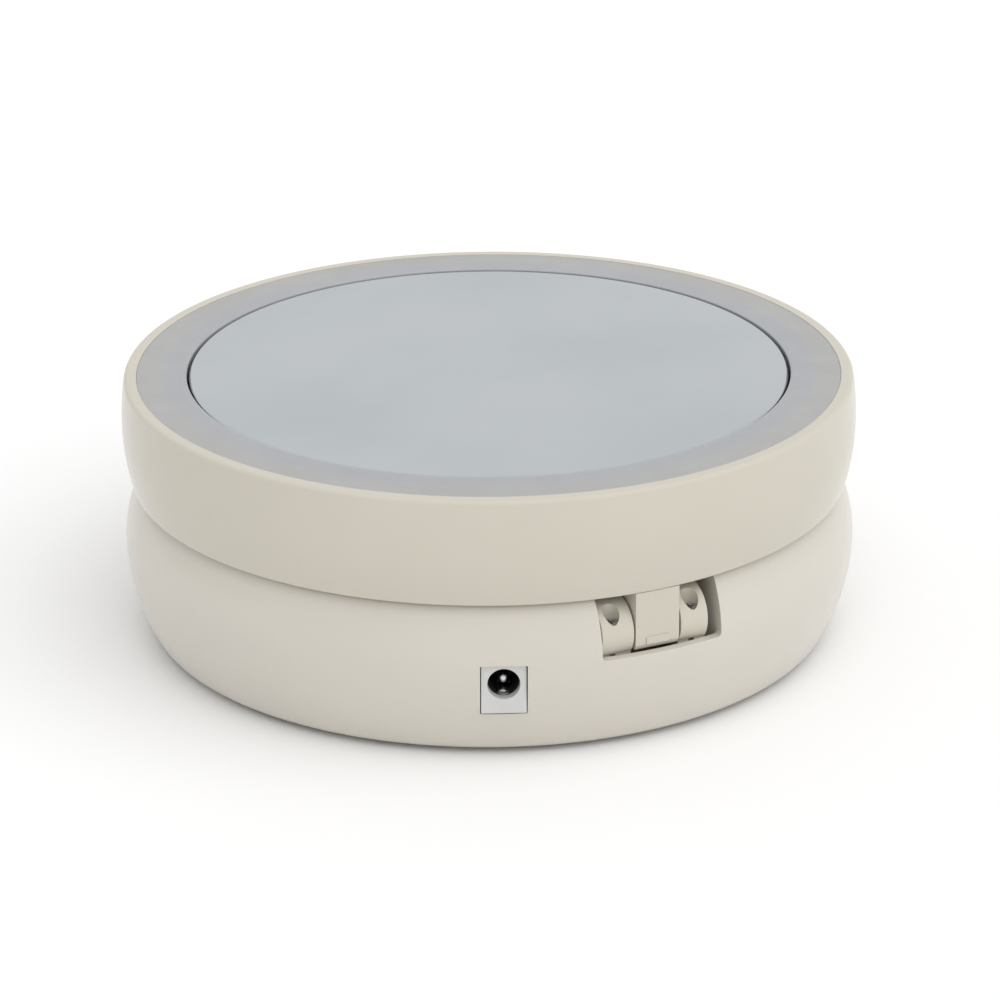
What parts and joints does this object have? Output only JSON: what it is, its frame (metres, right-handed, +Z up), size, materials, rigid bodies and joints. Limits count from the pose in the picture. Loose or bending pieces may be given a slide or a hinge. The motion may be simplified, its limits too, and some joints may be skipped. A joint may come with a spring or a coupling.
{
  "type": "turntable display stand",
  "caption": "Low round display stand: a mirror platter turns inside a frosted light ring, in a head that tilts up on a rear hinge above a weighted base.",
  "frame": {"origin": "middle of the base, on the surface it stands on", "axes": "+Z up along the platter's axis, hinge on the -Y side with its pin along X"},
  "size_m": [0.155, 0.155, 0.0562],
  "materials": {
    "ivory_plastic": "smooth injection moulded, light gloss",
    "frosted_plastic": "frosted translucent, fine satin",
    "white_plastic": "plain white",
    "socket_plastic": "pale grey moulded",
    "contact_metal": "bright nickel plate",
    "screw_steel": "bright zinc plate",
    "motor_steel": "drawn can, satin",
    "ballast_iron": "cast, dull",
    "brass": "turned",
    "rubber": "soft black",
    "circuit_board": "green solder mask",
    "light_board": "white solder mask",
    "light_chip": "white case with a yellow phosphor",
    "black_plastic": "plain black",
    "mirror": "polished, slightly hazy"
  },
  "bodies": {
    "base": {"base_shell": "ivory_plastic", "base_plate": "ivory_plastic", "base_screws": "screw_steel", "rubber_feet": "rubber", "ballast_ring": "ballast_iron", "ballast_screws": "screw_steel", "main_board": "circuit_board", "board_parts": "black_plastic", "board_screws": "screw_steel", "dc_jack_body": "socket_plastic", "dc_jack_pin": "contact_metal", "dc_jack_spring": "contact_metal", "switch_board": "circuit_board", "tact_switch": "black_plastic", "hinge_bracket": "ivory_plastic", "hinge_screws": "screw_steel", "hinge_pin": "screw_steel", "hinge_washers": "screw_steel", "deck_pads": "rubber", "base_lead": "black_plastic"},
    "head": {"head_shell": "ivory_plastic", "head_floor": "ivory_plastic", "head_screws": "screw_steel", "hinge_arm": "ivory_plastic", "hinge_arm_screws": "screw_steel", "light_tray": "white_plastic", "led_board": "light_board", "led_chips": "light_chip", "diffuser_ring": "frosted_plastic", "motor_can": "motor_steel", "motor_screws": "screw_steel", "spindle_bush": "brass", "thrust_washer": "white_plastic", "roller_brackets": "white_plastic", "roller_axles": "screw_steel", "head_lead": "black_plastic"},
    "platter": {"mirror_disc": "mirror", "mirror_pad": "black_plastic", "platter": "ivory_plastic", "platter_gear": "white_plastic", "spindle": "screw_steel", "spindle_screw": "screw_steel"},
    "motor_pinion": {"motor_pinion": "brass", "motor_shaft": "screw_steel"},
    "roller_1": {"roller_1": "rubber"},
    "roller_2": {"roller_2": "rubber"},
    "roller_3": {"roller_3": "rubber"},
    "power_button": {"power_button": "ivory_plastic"}
  },
  "joints": [
    {"name": "head_tilt", "type": "hinge", "parent": "base", "child": "head", "pos_m": [0, -0.0693, 0.025], "axis": [1, 0, 0], "range_deg": [0, 60]},
    {"name": "platter_spin", "type": "hinge", "parent": "head", "child": "platter", "pos_m": [0, 0, 0.05], "axis": [0, 0, 1], "continuous": true},
    {"name": "pinion_spin", "type": "hinge", "parent": "head", "child": "motor_pinion", "pos_m": [0, 0.0304, 0.048], "axis": [0, 0, 1], "continuous": true},
    {"name": "roller_1_spin", "type": "hinge", "parent": "head", "child": "roller_1", "pos_m": [0, 0.052, 0.045], "axis": [0, 1, 0], "continuous": true},
    {"name": "roller_2_spin", "type": "hinge", "parent": "head", "child": "roller_2", "pos_m": [-0.04503, -0.026, 0.045], "axis": [-0.866, -0.5, 0], "continuous": true},
    {"name": "roller_3_spin", "type": "hinge", "parent": "head", "child": "roller_3", "pos_m": [0.04503, -0.026, 0.045], "axis": [0.866, -0.5, 0], "continuous": true},
    {"name": "button_press", "type": "slide", "parent": "base", "child": "power_button", "axis": [0, -1, 0], "range_m": [0, 0.0008], "stiffness_N_per_m": 900, "springref_m": -0.0006}
  ],
  "couplings": [
    {"joint": "pinion_spin", "follows": "platter_spin", "ratio": -3.75},
    {"joint": "roller_1_spin", "follows": "platter_spin", "ratio": -10.4},
    {"joint": "roller_2_spin", "follows": "platter_spin", "ratio": -10.4},
    {"joint": "roller_3_spin", "follows": "platter_spin", "ratio": -10.4}
  ]
}
